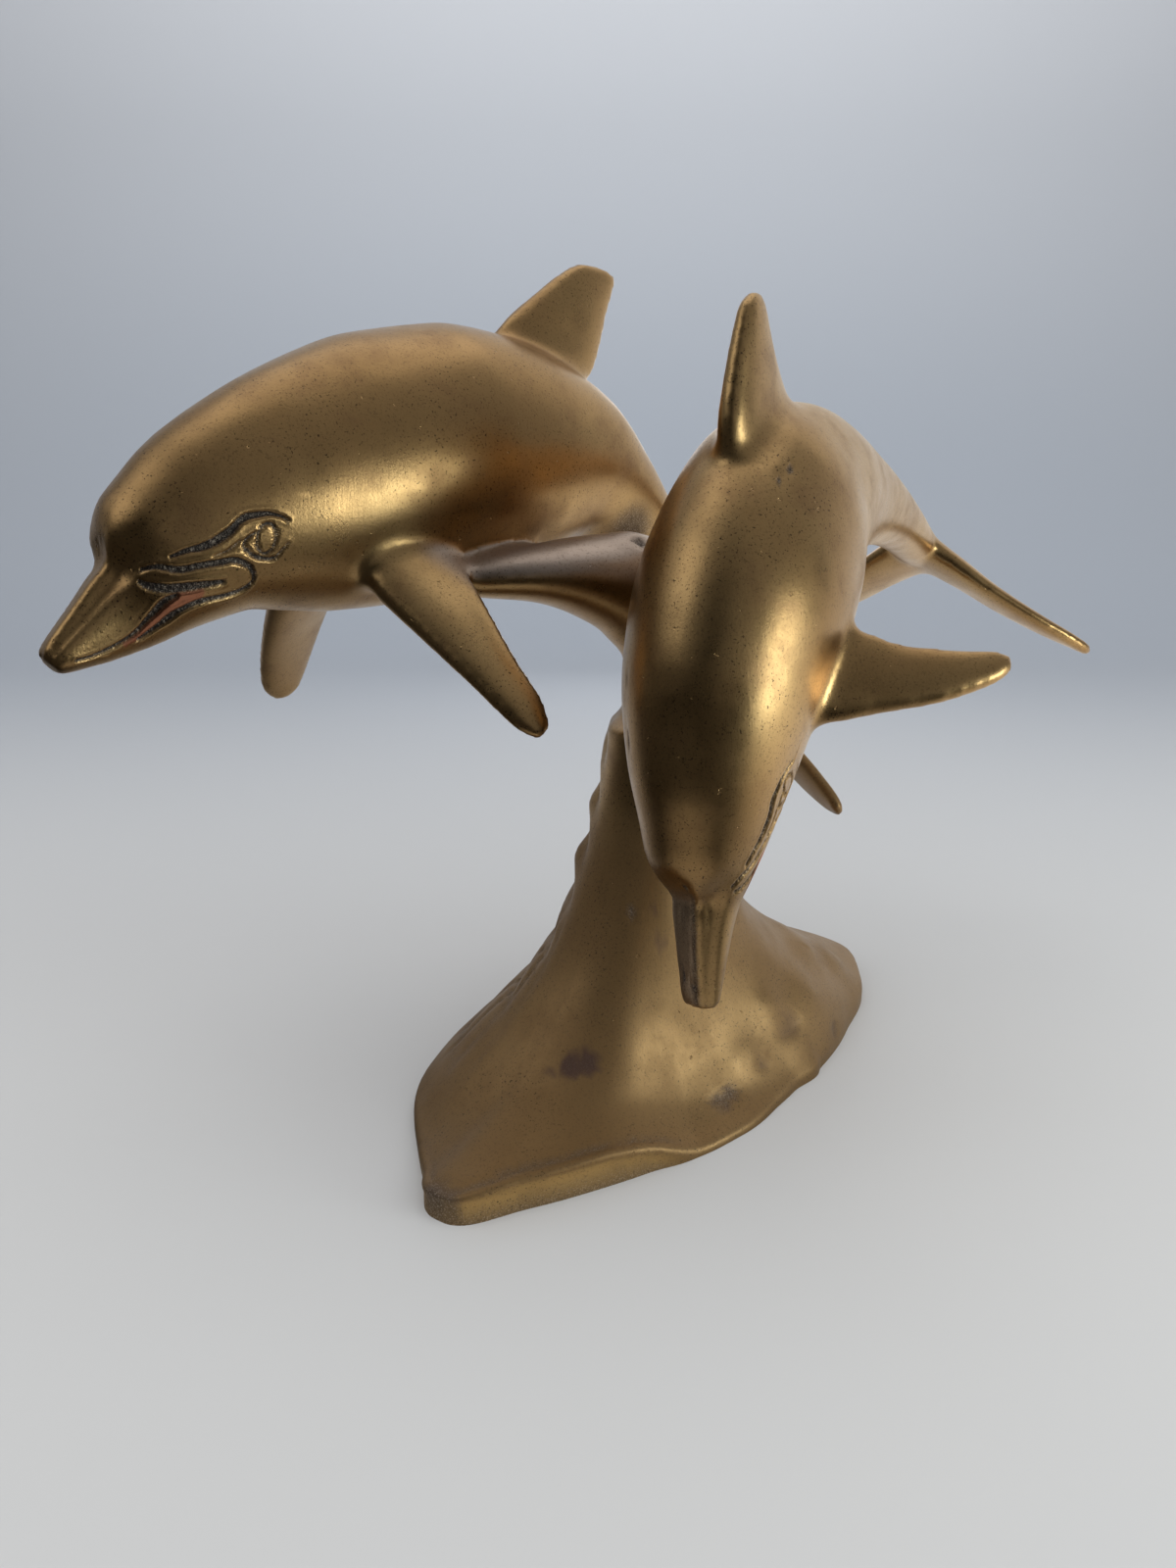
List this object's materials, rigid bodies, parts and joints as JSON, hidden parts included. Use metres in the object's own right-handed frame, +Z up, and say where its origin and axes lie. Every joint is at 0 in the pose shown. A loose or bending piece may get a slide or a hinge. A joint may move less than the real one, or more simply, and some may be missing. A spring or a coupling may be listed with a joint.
{
  "type": "dolphin figurine",
  "caption": "Cast brass table sculpture of leaping dolphins on a curling wave that spreads into its own foot.",
  "frame": {"origin": "on the surface it stands on, under the middle of its outline seen from above", "axes": "+Z up, the front of the sculpture faces -Y, +X to its right as seen from the front"},
  "size_m": [0.3137, 0.2477, 0.2478],
  "materials": {
    "brass": "aged satin brass with brown toning, bright on its ridges and dark in its carving"
  },
  "bodies": {
    "root": {"dolphin_figurine": "brass"}
  },
  "joints": []
}
